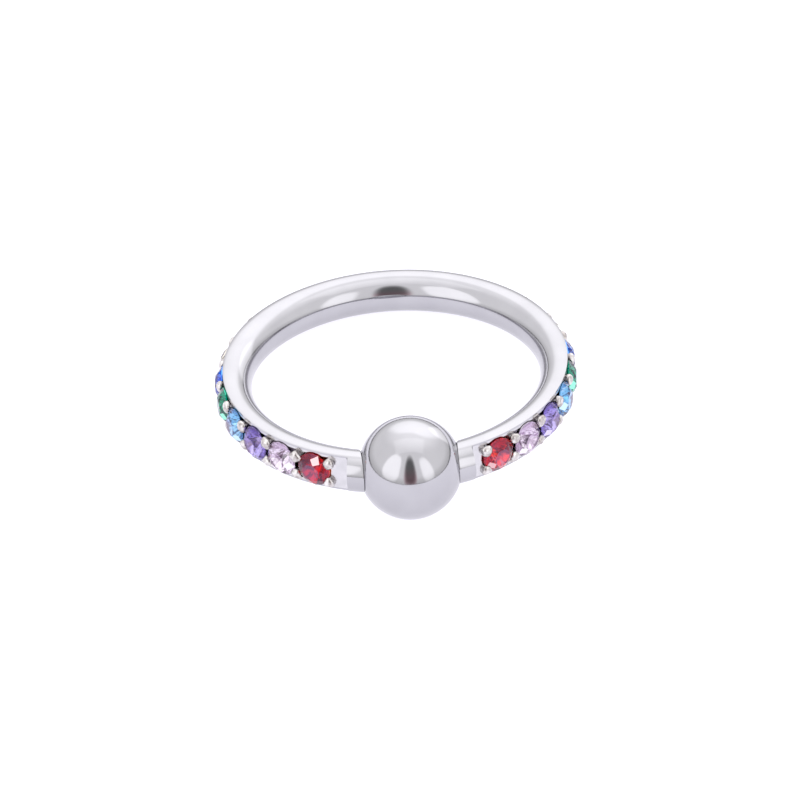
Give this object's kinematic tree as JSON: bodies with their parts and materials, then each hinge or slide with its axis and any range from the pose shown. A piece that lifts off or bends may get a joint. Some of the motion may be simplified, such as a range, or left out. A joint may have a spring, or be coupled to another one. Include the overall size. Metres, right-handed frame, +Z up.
{
  "type": "captive bead ring",
  "caption": "Body jewellery ring: a polished wire hoop with a captive ball bead in its gap and a row of small round prong-set stones in many colours along its outer side.",
  "frame": {"origin": "middle of the bounding box's base, on the surface that the ring lies on", "axes": "+Z up from the surface; -Y towards the bead; X along the line between the wire's two tips"},
  "size_m": [0.014, 0.0152, 0.004],
  "materials": {
    "steel": "mirror-polished stainless steel",
    "stone_red": "faceted red cubic zirconia",
    "stone_pink": "faceted pink cubic zirconia",
    "stone_violet": "faceted violet cubic zirconia",
    "stone_aqua": "faceted aqua cubic zirconia",
    "stone_green": "faceted green cubic zirconia",
    "stone_blue": "faceted blue cubic zirconia",
    "stone_champagne": "faceted champagne cubic zirconia"
  },
  "bodies": {
    "hoop": {"ring": "steel", "stone_01": "stone_red", "stone_02": "stone_pink", "stone_03": "stone_violet", "stone_04": "stone_aqua", "stone_05": "stone_green", "stone_06": "stone_blue", "stone_07": "stone_champagne", "stone_08": "stone_red", "stone_09": "stone_pink", "stone_10": "stone_violet", "stone_11": "stone_aqua", "stone_12": "stone_green", "stone_13": "stone_green", "stone_14": "stone_aqua", "stone_15": "stone_violet", "stone_16": "stone_pink", "stone_17": "stone_red", "stone_18": "stone_champagne", "stone_19": "stone_blue", "stone_20": "stone_green", "stone_21": "stone_aqua", "stone_22": "stone_violet", "stone_23": "stone_pink", "stone_24": "stone_red"},
    "ball": {"bead": "steel"}
  },
  "joints": [
    {"name": "bead_spin", "type": "hinge", "parent": "hoop", "child": "ball", "pos_m": [0, -0.00556, 0.002], "axis": [1, 0, 0], "continuous": true}
  ]
}
